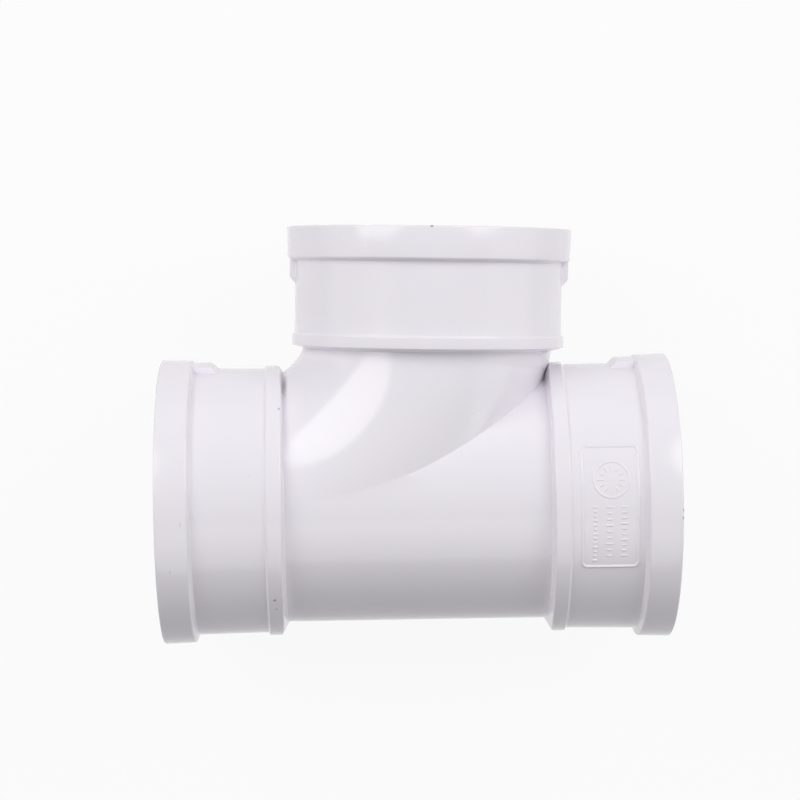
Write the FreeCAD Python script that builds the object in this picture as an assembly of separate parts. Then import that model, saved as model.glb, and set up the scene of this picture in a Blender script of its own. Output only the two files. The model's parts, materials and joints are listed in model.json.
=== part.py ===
import FreeCAD, Part
import math
import os

# A white PVC-U swept drainage tee for 110 mm pipe, moulded in one piece.
# It lies on the rims of its three collars. The run is along X, the branch points to +Y
# and leans a little to +X, and the moulded panel faces up. All sizes are in millimetres.

# Pipe and sockets
PIPE_OUTER_D = 110.0           # pipe that the three sockets take
PIPE_CLEARANCE = 0.4           # socket bore over the pipe, on the diameter
SOCKET_DEPTH = 48.0            # mouth to the pipe stop
SOCKET_WALL = 3.2
STOP_LEDGE = 4.6               # the pipe butts against a ledge that stands in by this
LEAD_IN_DEPTH = 2.2            # bevel at the mouth that guides the pipe
LEAD_IN_RISE = 1.3

# Waterway
TUBE_WALL = 3.2
ELBOW_STEP = 0.25              # the elbow is slimmer than the run by this, on the radius
BEND_RADIUS = 76.0             # centre line of the swept elbow
BRANCH_LEAN_DEG = 1.5          # an 88.5 degree tee: the branch falls towards the short arm

# Arms, from the crossing of the axes to each mouth
LONG_ARM = 115.4               # upstream side, where the elbow sweeps in
SHORT_ARM = 106.1
BRANCH_ARM = 119.0

# Collar at each mouth
COLLAR_WALL = 7.3              # over the socket bore, at the mouth
COLLAR_LENGTH = 13.7           # mouth to the edge where the step begins
COLLAR_STEP = 1.3              # length of the sloped step down to the barrel

# Bead round the root of each socket, over the pipe stop
BEAD_PROUD = 1.4               # over the barrel, on the radius
BEAD_START = 46.9              # from the mouth
BEAD_EDGE = 0.8                # length of the small slope on the barrel side
RUN_BEAD_WIDTH = 6.2
RUN_BEAD_FLANK = 2.0           # length of the slope down to the tube
BRANCH_BEAD_WIDTH = 4.7
BRANCH_BEAD_FLANK = 1.2        # length of the slope down to the neck
NECK_FLARE = 0.6               # the branch tube is wider by this under its bead, on the radius
NECK_LENGTH = 12.0

# Grip lugs behind the collars, on the mould's parting plane
LUG_END = 25.4                 # from the mouth to the foot of the lug
LUG_SLOPE = 3.6                # length of the sloped end
LUG_TOP_BELOW_COLLAR = 1.3     # on the radius
RUN_LUG_HALF_WIDTH = 14.0
BRANCH_LUG_HALF_WIDTH = 7.0

# Raised border of the panel on the short arm
PANEL_START = 17.7             # from the mouth
PANEL_LENGTH = 24.8
PANEL_HALF_WIDTH = 26.0        # across the arm, seen from above
PANEL_RIDGE_WIDTH = 0.9
PANEL_RIDGE_HEIGHT = 0.45
PANEL_CORNER = 2.8

# Radii that follow from the sizes above
SOCKET_BORE_R = (PIPE_OUTER_D + PIPE_CLEARANCE) / 2
BARREL_R = SOCKET_BORE_R + SOCKET_WALL
COLLAR_R = SOCKET_BORE_R + COLLAR_WALL
BEAD_R = BARREL_R + BEAD_PROUD
TUBE_BORE_R = PIPE_OUTER_D / 2 - STOP_LEDGE
TUBE_R = TUBE_BORE_R + TUBE_WALL
ELBOW_R = TUBE_R - ELBOW_STEP
ELBOW_BORE_R = TUBE_BORE_R - ELBOW_STEP
NECK_R = TUBE_R + NECK_FLARE

# Stations along an arm, from its mouth inwards
COLLAR_FOOT = COLLAR_LENGTH + COLLAR_STEP
RUN_BEAD_END = BEAD_START + RUN_BEAD_WIDTH
RUN_FLANK_FOOT = RUN_BEAD_END + RUN_BEAD_FLANK
BRANCH_BEAD_END = BEAD_START + BRANCH_BEAD_WIDTH
BRANCH_FLANK_FOOT = BRANCH_BEAD_END + BRANCH_BEAD_FLANK

LEAN = math.radians(BRANCH_LEAN_DEG)
SWEEP_DEG = 90.0 - BRANCH_LEAN_DEG
TANGENT_LENGTH = BEND_RADIUS * math.tan(math.radians(SWEEP_DEG) / 2)

UP = FreeCAD.Vector(0, 0, 1)
ALONG_X = FreeCAD.Vector(1, 0, 0)
ALONG_BRANCH = FreeCAD.Vector(math.sin(LEAN), math.cos(LEAN), 0)
CROSSING = FreeCAD.Vector(0, 0, 0)


def socket_outline(arm_length, bead_end):
    """Outside of one socket as (distance, radius) corners, from the end of its bead to its mouth."""
    return [
        (arm_length - bead_end, BEAD_R),
        (arm_length - BEAD_START, BEAD_R),
        (arm_length - BEAD_START + BEAD_EDGE, BARREL_R),
        (arm_length - COLLAR_FOOT, BARREL_R),
        (arm_length - COLLAR_LENGTH, COLLAR_R),
        (arm_length, COLLAR_R),
    ]


def bore_outline(arm_length):
    """Inside of one socket, from its pipe stop out to its mouth."""
    return [
        (arm_length - SOCKET_DEPTH, SOCKET_BORE_R),
        (arm_length - LEAD_IN_DEPTH, SOCKET_BORE_R),
        (arm_length, SOCKET_BORE_R + LEAD_IN_RISE),
    ]


def mirrored(corners):
    """The same corners on the other side of the crossing, in reverse order."""
    return [(-distance, radius) for distance, radius in reversed(corners)]


def turned(corners):
    """Solid of revolution about the X axis, from a closed row of (distance, radius) corners."""
    points = [FreeCAD.Vector(distance, radius, 0) for distance, radius in corners + corners[:1]]
    return Part.Face(Part.makePolygon(points)).revolve(CROSSING, ALONG_X, 360)


def turned_bar(corners):
    """Solid of revolution that is filled right to the axis, with a square end at each side."""
    first = (corners[0][0], 0.0)
    last = (corners[-1][0], 0.0)
    return turned([first] + corners + [last])


def turned_to_branch(shape):
    """A shape made along +X, turned about the crossing to lie along the branch."""
    shape.rotate(CROSSING, UP, 90.0 - BRANCH_LEAN_DEG)
    return shape


def run_outside():
    """The run: one tube with a socket at each end."""
    long_side = [(LONG_ARM - RUN_FLANK_FOOT, TUBE_R)] + socket_outline(LONG_ARM, RUN_BEAD_END)
    short_side = [(SHORT_ARM - RUN_FLANK_FOOT, TUBE_R)] + socket_outline(SHORT_ARM, RUN_BEAD_END)
    return turned_bar(mirrored(long_side) + short_side)


def branch_outside():
    """The branch socket, with a short neck that widens up to its bead."""
    neck_foot = BRANCH_ARM - BRANCH_FLANK_FOOT
    neck_start = neck_foot - NECK_LENGTH
    elbow_offset = (TANGENT_LENGTH - neck_start) ** 2 / (2 * BEND_RADIUS)
    neck = [(neck_start, ELBOW_R - ELBOW_STEP - elbow_offset), (neck_foot, NECK_R)]
    return turned_to_branch(turned_bar(neck + socket_outline(BRANCH_ARM, BRANCH_BEAD_END)))


def elbow(radius):
    """Round bar of the given radius, swept along the bend and straight on into the branch socket."""
    run_end = ALONG_X * -TANGENT_LENGTH
    bend_circle = Part.Circle(run_end + FreeCAD.Vector(0, BEND_RADIUS, 0), UP, BEND_RADIUS)
    bend = Part.Arc(bend_circle, math.radians(-90), math.radians(SWEEP_DEG - 90))
    inside_socket = BRANCH_ARM - SOCKET_DEPTH / 2
    straight = Part.LineSegment(ALONG_BRANCH * TANGENT_LENGTH, ALONG_BRANCH * inside_socket)
    path = Part.Wire([bend.toBSpline().toShape(), straight.toShape()])
    circle = Part.Circle(run_end, ALONG_X, radius)
    quarters = [
        Part.Arc(circle, math.radians(90 * turn + 45), math.radians(90 * turn + 135)).toShape()
        for turn in range(4)
    ]
    return path.makePipeShell([Part.Wire(quarters)], True, False)


def waterway():
    """Everything that is hollow: the run bore, the elbow bore and the three sockets."""
    long_side = [(LONG_ARM - SOCKET_DEPTH, TUBE_BORE_R)] + bore_outline(LONG_ARM)
    short_side = [(SHORT_ARM - SOCKET_DEPTH, TUBE_BORE_R)] + bore_outline(SHORT_ARM)
    run = turned_bar(mirrored(long_side) + short_side)
    branch = turned_to_branch(turned_bar(bore_outline(BRANCH_ARM)))
    return run.fuse([branch, elbow(ELBOW_BORE_R)])


def lug(arm_length, half_width, side):
    """Grip lug behind a collar of an arm along +X, on the +Y side (1) or the -Y side (-1)."""
    top = COLLAR_R - LUG_TOP_BELOW_COLLAR
    inside_wall = BARREL_R - SOCKET_WALL / 2
    foot = arm_length - LUG_END
    inside_collar = arm_length - COLLAR_LENGTH
    ring = turned([
        (foot, inside_wall),
        (foot, BARREL_R),
        (foot + LUG_SLOPE, top),
        (inside_collar, top),
        (inside_collar, inside_wall),
    ])
    slab = Part.makeBox(arm_length, COLLAR_R, 2 * half_width)
    slab.translate(FreeCAD.Vector(0, 0, -half_width))
    if side < 0:
        slab.rotate(CROSSING, ALONG_X, 180)
    return ring.common(slab)


def facing_minus_x(shape):
    """A shape made along +X, turned about the vertical through the crossing to lie along -X."""
    shape.rotate(CROSSING, UP, 180)
    return shape


def lugs():
    """Two lugs on the run, on the branch side, and two on the branch."""
    return [
        facing_minus_x(lug(LONG_ARM, RUN_LUG_HALF_WIDTH, -1)),
        lug(SHORT_ARM, RUN_LUG_HALF_WIDTH, 1),
        turned_to_branch(lug(BRANCH_ARM, BRANCH_LUG_HALF_WIDTH, 1)),
        turned_to_branch(lug(BRANCH_ARM, BRANCH_LUG_HALF_WIDTH, -1)),
    ]


def panel_block(inset):
    """Upright block with round corners over the panel, drawn in by an inset on every side."""
    half_width = PANEL_HALF_WIDTH - inset
    block = Part.makeBox(PANEL_LENGTH - 2 * inset, 2 * half_width, COLLAR_R)
    block.translate(FreeCAD.Vector(SHORT_ARM - PANEL_START - PANEL_LENGTH + inset, -half_width, 0))
    upright = [edge for edge in block.Edges if edge.BoundBox.ZLength > COLLAR_R / 2]
    return block.makeFillet(PANEL_CORNER - inset, upright)


def panel_border():
    """Fine raised ridge round the panel, on the barrel of the short arm."""
    inside_wall = BARREL_R - SOCKET_WALL / 2
    ridge_top = BARREL_R + PANEL_RIDGE_HEIGHT
    inner = SHORT_ARM - BEAD_START + BEAD_EDGE
    outer = SHORT_ARM - COLLAR_FOOT
    skin = turned([(inner, inside_wall), (inner, ridge_top), (outer, ridge_top), (outer, inside_wall)])
    return skin.common(panel_block(0.0).cut(panel_block(PANEL_RIDGE_WIDTH)))


def tee():
    """The whole moulding, still with the crossing of its axes at the origin."""
    outside = run_outside().fuse([elbow(ELBOW_R), branch_outside()] + lugs() + [panel_border()])
    return outside.cut(waterway()).removeSplitter()


def to_rest(shape):
    """Moves the tee so that the origin is under the middle of its box, on the surface it lies on."""
    branch_reach = BRANCH_ARM * math.cos(LEAN) + COLLAR_R * math.sin(LEAN)
    middle_x = (SHORT_ARM - LONG_ARM) / 2
    middle_y = (branch_reach - COLLAR_R) / 2
    shape.translate(FreeCAD.Vector(-middle_x, -middle_y, COLLAR_R))
    return shape


os.makedirs("parts", exist_ok=True)
body = to_rest(tee()).Solids[0]
body.exportStep("parts/tee_body.step")
print("tee_body valid", body.isValid(), "volume", round(body.Volume), "box", body.BoundBox)
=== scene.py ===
"""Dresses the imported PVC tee: its moulded skin, its panel marks, its white plastic and its studio.

The tee's shape is worked out in millimetres in the tee's own frame. There the axes of the run and
the branch cross at the origin, the short arm points to +X, the branch to +Y and the panel to +Z.
Each mesh is then put in metres in the row's frame.
"""

import json
import logging
import math
from collections import defaultdict
from dataclasses import dataclass, field, replace
from enum import Enum

import bmesh
import bpy
import numpy as np
from bpy.types import ID, Material, Node, NodeSocket, NodeTree, Object
from mathutils import Matrix, Vector


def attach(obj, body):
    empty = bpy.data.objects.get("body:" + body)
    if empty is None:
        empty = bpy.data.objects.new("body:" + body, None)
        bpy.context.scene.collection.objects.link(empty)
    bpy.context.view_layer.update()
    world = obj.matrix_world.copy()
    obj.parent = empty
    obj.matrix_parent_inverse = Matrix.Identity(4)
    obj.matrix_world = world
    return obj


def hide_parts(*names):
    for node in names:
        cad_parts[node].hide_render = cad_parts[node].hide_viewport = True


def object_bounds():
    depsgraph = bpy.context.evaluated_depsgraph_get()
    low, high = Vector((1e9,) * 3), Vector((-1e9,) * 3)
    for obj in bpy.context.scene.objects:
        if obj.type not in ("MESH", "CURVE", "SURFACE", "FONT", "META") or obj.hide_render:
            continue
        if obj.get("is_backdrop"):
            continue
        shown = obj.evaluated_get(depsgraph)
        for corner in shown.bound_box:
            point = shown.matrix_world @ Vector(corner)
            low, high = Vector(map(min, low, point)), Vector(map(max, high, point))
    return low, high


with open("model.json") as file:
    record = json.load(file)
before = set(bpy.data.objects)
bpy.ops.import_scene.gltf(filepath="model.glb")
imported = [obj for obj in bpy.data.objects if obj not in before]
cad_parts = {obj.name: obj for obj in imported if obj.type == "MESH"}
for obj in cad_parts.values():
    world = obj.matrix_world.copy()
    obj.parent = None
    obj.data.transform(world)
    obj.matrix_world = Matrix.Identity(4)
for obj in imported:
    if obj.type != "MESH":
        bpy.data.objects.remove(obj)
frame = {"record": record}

LOG = logging.getLogger("pvc_tee")
MM = 0.001
BODY = "root"
NODE = "tee_body"
ARC_STEPS = 6
PLACE_DECIMALS = 4
ANGLE_DECIMALS = 3
MARK_CREASE = 50.0
WHITE = (1.0, 1.0, 1.0, 1.0)
FLOAT = "NodeSocketFloat"
VECTOR = "NodeSocketVector"
MIX_FIRST, MIX_SECOND, MIX_RESULT = 6, 7, 2

Array = np.ndarray
Triple = tuple[float, float, float]


class Arm(Enum):
    """The three arms, by the name of the bore mount at the end of each."""

    LONG = "run_long_socket"
    SHORT = "run_short_socket"
    BRANCH = "branch_socket"


@dataclass(frozen=True)
class SocketForm:
    """Sizes of a socket in millimetres, with distances from the mouth inwards."""

    bore_r: float
    collar_r: float
    depth: float = 48.0
    lead_in: float = 2.2
    lead_in_rise: float = 1.3
    mouth_bevel: float = 0.35
    overshoot: float = 3.0
    collar_draft: float = 0.4
    collar_edge: float = 13.7
    collar_foot: float = 15.0
    barrel_mouth_r: float = 58.7
    barrel_root_r: float = 58.2
    bead_r: float = 59.4
    bead_start: float = 46.9
    bead_slope: float = 0.8
    bead_end: float = 53.1
    flank_foot: float = 54.0
    rim_round: float = 0.7
    collar_round: float = 1.1
    foot_round: float = 0.4
    bead_round: float = 0.35
    bead_back_round: float = 0.8
    flank_round: float = 0.6
    parting_stations: tuple[float, ...] = (38.0, 46.1, 46.9, 53.1, 54.0, 60.0)
    parting_shifts: tuple[float, ...] = (0.0, -1.2, -1.2, -2.6, 0.6, 0.0)

    def barrel_r(self, depth: Array) -> Array:
        """Radius of the drafted barrel at a distance from the mouth."""
        share = np.clip((depth - self.collar_foot) / (self.bead_start - self.collar_foot), 0.0, 1.0)
        return self.barrel_mouth_r + (self.barrel_root_r - self.barrel_mouth_r) * share

    def parting_shift(self, depth: Array) -> Array:
        """How far the draft moves the bead's corners towards the foot on the parting plane."""
        return np.interp(depth, self.parting_stations, self.parting_shifts)

    def outside(self, arm: float) -> list[Triple]:
        """Corners of the outside, from the bead to the mouth.

        Args:
            arm: Distance from the crossing to the mouth.

        Returns:
            Rows of distance along the arm, radius, and the round at that corner.
        """
        return [
            (arm - self.bead_end, self.bead_r, self.bead_back_round),
            (arm - self.bead_start, self.bead_r, self.bead_round),
            (arm - self.bead_start + self.bead_slope, self.barrel_root_r, self.foot_round),
            (arm - self.collar_foot, self.barrel_mouth_r, self.foot_round),
            (arm - self.collar_edge, self.collar_r - self.collar_draft, self.collar_round),
            (arm, self.collar_r, self.rim_round),
        ]

    def bore(self, arm: float) -> list[Triple]:
        """Corners of the hollow, from the pipe stop to a little outside the mouth.

        Args:
            arm: Distance from the crossing to the mouth.

        Returns:
            Rows as in outside, with sharp corners.
        """
        mouth_r = self.bore_r + self.lead_in_rise
        return [
            (arm - self.depth, self.bore_r, 0.0),
            (arm - self.lead_in, self.bore_r, 0.0),
            (arm - self.mouth_bevel, mouth_r, 0.0),
            (arm + self.overshoot, mouth_r + self.overshoot + self.mouth_bevel, 0.0),
        ]


@dataclass(frozen=True)
class LugForm:
    """A grip lug behind a collar, on the mould's parting plane, in millimetres."""

    top_r: float = 61.3
    foot: float = 25.4
    slope: float = 3.6
    sunk: float = 0.4
    side_round: float = 0.8
    slack: float = 0.1

    def raised(self, radius: Array, depth: Array, across: Array,
               half_width: float, socket: SocketForm) -> Array:
        """Raises a socket's radius to the lug's top, which dips under the barrel outside the lug.

        The top is a ramp along the arm times a smooth ramp over each side edge.

        Args:
            radius: Radius without the lug.
            depth: Distance from the mouth.
            across: Distance from the parting plane.
            half_width: Half the lug's width.
            socket: The socket that the lug is on.

        Returns:
            Radius with the lug.
        """
        low = socket.barrel_r(depth) - self.sunk
        along = np.clip((self.foot - depth) / self.slope, 0.0, 1.0)
        side = smooth_ramp((half_width - np.abs(across)) / self.side_round)
        top = low + (self.top_r - low) * along * side
        near = (depth < self.foot + self.slack) & (depth > socket.collar_edge - self.slack)
        return np.where(near, np.maximum(radius, top), radius)


@dataclass(frozen=True)
class PanelForm:
    """The raised border of the panel on top of the short arm, in millimetres."""

    start: float = 17.7
    length: float = 24.8
    half_width: float = 26.0
    corner: float = 2.8
    ridge_width: float = 1.2
    ridge_height: float = 0.5
    ridge_power: float = 0.6

    @property
    def middle(self) -> float:
        """Distance of the panel's middle from the mouth."""
        return self.start + self.length / 2

    def outline_distance(self, along: Array, across: Array) -> Array:
        """Signed distance to the panel's round-cornered outline, negative inside.

        It is the distance to a rectangle that is smaller by the corner's radius, less that radius.

        Args:
            along: Distance from the panel's middle along the arm.
            across: Distance from the panel's middle across the arm.

        Returns:
            Signed distance in millimetres.
        """
        over_x = np.abs(along) - (self.length / 2 - self.corner)
        over_y = np.abs(across) - (self.half_width - self.corner)
        outside = np.hypot(np.maximum(over_x, 0.0), np.maximum(over_y, 0.0))
        inside = np.minimum(np.maximum(over_x, over_y), 0.0)
        return outside + inside - self.corner

    def rise(self, depth: Array, across: Array) -> Array:
        """Height of the border over the barrel: one rounded ridge just inside the outline."""
        place = -self.outline_distance(depth - self.middle, across) / self.ridge_width
        return self.ridge_height * np.sin(math.pi * np.clip(place, 0.0, 1.0)) ** self.ridge_power


@dataclass(frozen=True)
class WaterwayForm:
    """The tube and the elbow between the sockets, in millimetres."""

    tube_bore_r: float = 50.4
    tube_wall: float = 3.2
    elbow_step: float = 0.25
    bend_radius: float = 76.0
    neck_flare: float = 0.6
    neck_length: float = 12.0
    neck_bulge: float = 0.9
    neck_squeeze: float = 0.018

    @property
    def tube_r(self) -> float:
        """Outer radius of the tube."""
        return self.tube_bore_r + self.tube_wall

    @property
    def elbow_r(self) -> float:
        """Outer radius of the elbow."""
        return self.tube_r - self.elbow_step

    @property
    def elbow_bore_r(self) -> float:
        """Inner radius of the elbow."""
        return self.tube_bore_r - self.elbow_step

    def bend_tangent(self, lean: float) -> float:
        """Distance from the crossing to where the bend starts and ends."""
        return self.bend_radius * math.tan((math.pi / 2 - lean) / 2)


@dataclass(frozen=True)
class BurrForm:
    """The rough edge of the branch's mouth: degrees round the rim, and a depth in millimetres."""

    middle: float = 62.0
    spread: float = 22.0
    waves: tuple[float, float] = (97.0, 61.0)
    shift: float = 1.3
    depth: float = 0.5

    def dip(self, degrees: Array) -> Array:
        """Depth of the dips: two sine waves multiplied, under a bell curve round the rim.

        Args:
            degrees: Angle round the rim.

        Returns:
            Depth in millimetres.
        """
        angle = np.radians(degrees)
        bell = np.exp(-((degrees - self.middle) / self.spread) ** 2)
        wave = np.sin(angle * self.waves[0]) * np.sin(angle * self.waves[1] + self.shift)
        return self.depth * bell * np.clip(wave, 0.0, 1.0)


@dataclass(frozen=True)
class GridSteps:
    """How finely grids are cut, in millimetres along an arm and in degrees round it."""

    lug: float = 0.5
    past_lug: float = 0.6
    border: float = 0.2
    past_border: float = 0.3
    inside_border: float = 0.5
    ring: float = 2.0
    fine_ring: float = 0.2
    inside_lug: float = 1.2
    outside_lug: float = 0.4
    round_corner: float = 0.6
    branch_lug_reach: float = 0.8
    bend: float = 1.5
    bend_end: float = 88.0
    elbow_columns: int = 180
    neck_end: float = 0.9
    neck_rings: int = 10


@dataclass(frozen=True)
class Layout:
    """Where the tee's frame lies in the row's frame, and how far the mouths are."""

    origin: Vector
    arms: dict[Arm, float]
    lean: float
    bore_r: float
    collar_r: float

    @classmethod
    def from_frame(cls, record: dict, low: Vector, high: Vector) -> "Layout":
        """Reads the layout from the bore mounts and the object's box.

        Args:
            record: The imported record.
            low: Lowest corner of the object's box, in metres.
            high: Highest corner of the object's box, in metres.

        Returns:
            The layout, in millimetres.
        """
        mounts = {mount["name"]: mount for mount in record["mounts"]}
        branch_mount = mounts[Arm.BRANCH.value]
        run = Vector(mounts[Arm.SHORT.value]["pos_m"])
        branch = Vector(branch_mount["pos_m"])
        axis = Vector(branch_mount["axis"]).normalized()
        reach = (branch.y - run.y) / axis.y
        origin = branch - axis * reach
        half_bore = branch_mount["dims"]["length_mm"] / 2
        arms = {
            Arm.LONG: (origin.x - low.x) / MM,
            Arm.SHORT: (high.x - origin.x) / MM,
            Arm.BRANCH: reach / MM + half_bore + SocketForm.lead_in,
        }
        lean = math.atan2(axis.x, axis.y)
        return cls(origin, arms, lean, branch_mount["dims"]["r_mm"], (high.z - low.z) / MM / 2)


def smooth_ramp(value: Array) -> Array:
    """Ramp from 0 to 1 over 0 to 1, level at both ends: three squares less two cubes."""
    share = np.clip(value, 0.0, 1.0)
    return share * share * (3.0 - 2.0 * share)


def rounded_profile(corners: list[Triple]) -> Array:
    """Row of points through the corners, with a tangent arc at each corner that has a round.

    The arc starts its round divided by the tangent of half the corner's angle back along each side.
    Its points are the corner's blend (1-t)^2 A + 2t(1-t) C + t^2 B, which is near an arc.

    Args:
        corners: Distance along the axis, radius and round of each corner.

    Returns:
        Array of (distance, radius) rows.
    """
    points = np.array(corners)[:, :2]
    rows = []
    for index, (_, _, rounding) in enumerate(corners):
        corner = points[index]
        if rounding == 0.0 or index in (0, len(corners) - 1):
            rows.append(corner[None, :])
            continue
        back = points[index - 1] - corner
        ahead = points[index + 1] - corner
        back = back / np.linalg.norm(back)
        ahead = ahead / np.linalg.norm(ahead)
        half = math.acos(float(np.clip(back @ ahead, -1.0, 1.0))) / 2
        reach = rounding / math.tan(half)
        share = np.linspace(0.0, 1.0, ARC_STEPS + 1)[:, None]
        start, end = corner + back * reach, corner + ahead * reach
        rows.append((1 - share) ** 2 * start + 2 * share * (1 - share) * corner + share ** 2 * end)
    return np.vstack(rows)


def with_rim_round(profile: Array, mouth_round: float) -> Array:
    """Rounds the last corner of a profile, where the collar turns into the flat mouth.

    Args:
        profile: Rows of (distance, radius) that end at the mouth's outer edge.
        mouth_round: Radius of the round.

    Returns:
        The profile, ending on the mouth's face instead of at its corner.
    """
    distance, radius = profile[-1]
    angle = np.linspace(0.0, math.pi / 2, ARC_STEPS + 1)
    arc = np.column_stack([
        distance - mouth_round + mouth_round * np.sin(angle),
        radius - mouth_round + mouth_round * np.cos(angle),
    ])
    return np.vstack([profile[:-1], arc])


def refined(profile: Array, extra: Array) -> Array:
    """The profile with extra points on it at the given distances along the axis.

    Args:
        profile: Rows of (distance, radius) with rising distances.
        extra: More distances.

    Returns:
        The finer profile.
    """
    inner = extra[(extra > profile[0, 0]) & (extra < profile[-1, 0])]
    distances = np.unique(np.round(np.concatenate([profile[:, 0], inner]), PLACE_DECIMALS))
    return np.column_stack([distances, np.interp(distances, profile[:, 0], profile[:, 1])])


def ring_angles(step: float, fine: list[Triple]) -> Array:
    """Angles round an axis, even apart from some finer stretches.

    Args:
        step: Usual step in degrees.
        fine: First angle, last angle and step of each finer stretch, in degrees.

    Returns:
        Rising angles in radians.
    """
    stretches = [np.arange(0.0, 360.0, step)]
    for first, last, fine_step in fine:
        stretches.append(np.arange(first, last + fine_step / 2, fine_step) % 360.0)
    return np.radians(np.unique(np.round(np.concatenate(stretches), ANGLE_DECIMALS)))


def turned(profile: Array, angles: Array) -> Array:
    """Grid of a profile turned about the X axis: (x, r cos a, r sin a).

    Args:
        profile: Rows of (x, r).
        angles: Angles from +Y towards +Z, in radians.

    Returns:
        Array of rows, columns and (x, y, z).
    """
    x = np.broadcast_to(profile[:, :1], (len(profile), len(angles)))
    radius = profile[:, 1:2]
    return np.stack([x, radius * np.cos(angles), radius * np.sin(angles)], axis=-1)


def turned_to_branch(grid: Array, lean: float) -> Array:
    """Turns a grid that was made along +X about Z, so that it lies along the leaning branch.

    Args:
        grid: Points along +X.
        lean: Lean of the branch in radians.

    Returns:
        The turned grid.
    """
    turn = math.pi / 2 - lean
    x, y, z = split(grid)
    return np.stack([
        x * math.cos(turn) - y * math.sin(turn),
        x * math.sin(turn) + y * math.cos(turn),
        z,
    ], axis=-1)


def split(grid: Array) -> tuple[Array, Array, Array]:
    """The x, y and z of all the points of a grid."""
    return grid[..., 0], grid[..., 1], grid[..., 2]


def swept_elbow(form: WaterwayForm, steps: GridSteps, lean: float, radius: float,
                reach: float) -> Array:
    """Grid of a round bar that follows the bend and then goes straight on into the branch.

    On the bend the middle of a ring is the bend's centre plus the bend radius times the outward
    direction n, which turns with the angle a: n = (sin a, -cos a). After the bend n stays as it is
    and the middle moves on along the branch. A ring is its middle plus r (n cos b + z sin b).

    Args:
        form: Sizes of the waterway.
        steps: How finely the grid is cut.
        lean: Lean of the branch in radians.
        radius: Radius of the bar.
        reach: Distance from the crossing at which the bar ends.

    Returns:
        Array of rows, columns and (x, y, z).
    """
    sweep = math.pi / 2 - lean
    tangent = form.bend_tangent(lean)
    turn = np.concatenate([np.radians(np.arange(0.0, steps.bend_end, steps.bend)), [sweep, sweep]])
    straight = np.zeros(len(turn))
    straight[-1] = reach - tangent
    outward = np.column_stack([np.sin(turn), -np.cos(turn)])
    centre = np.array([-tangent, form.bend_radius])
    along = np.array([math.sin(lean), math.cos(lean)])
    middle = centre + form.bend_radius * outward + straight[:, None] * along
    angle = np.linspace(0.0, 2 * math.pi, steps.elbow_columns, endpoint=False)
    flat = middle[:, None, :] + radius * np.cos(angle)[None, :, None] * outward[:, None, :]
    height = np.broadcast_to(radius * np.sin(angle), (len(turn), steps.elbow_columns))
    return np.concatenate([flat, height[..., None]], axis=-1)


def grid_faces(rows: int, columns: int, endless: bool = False) -> list[list[int]]:
    """Faces of a grid that is closed round its columns.

    Each quad joins a point to the next one round and the next one along. An endless grid goes on
    from its last ring to its first, and any other has one flat face at each end.

    Args:
        rows: Number of rings.
        columns: Number of points in a ring.
        endless: Whether the rings themselves close into a loop.

    Returns:
        Lists of point numbers.
    """
    steps = rows if endless else rows - 1
    ring, place = np.meshgrid(np.arange(steps), np.arange(columns), indexing="ij")
    after = (place + 1) % columns
    ahead = (ring + 1) % rows
    quads = np.stack([
        ring * columns + place,
        ring * columns + after,
        ahead * columns + after,
        ahead * columns + place,
    ], axis=-1).reshape(-1, 4)
    if endless:
        return quads.tolist()
    first = list(range(columns))[::-1]
    last = list(range((rows - 1) * columns, rows * columns))
    return quads.tolist() + [first, last]


def linked(name: str, data: ID) -> Object:
    """Makes an object and puts it in the scene.

    Args:
        name: Name of the object.
        data: Its mesh, lamp or camera.

    Returns:
        The object.
    """
    made = bpy.data.objects.new(name, data)
    bpy.context.scene.collection.objects.link(made)
    return made


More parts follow.
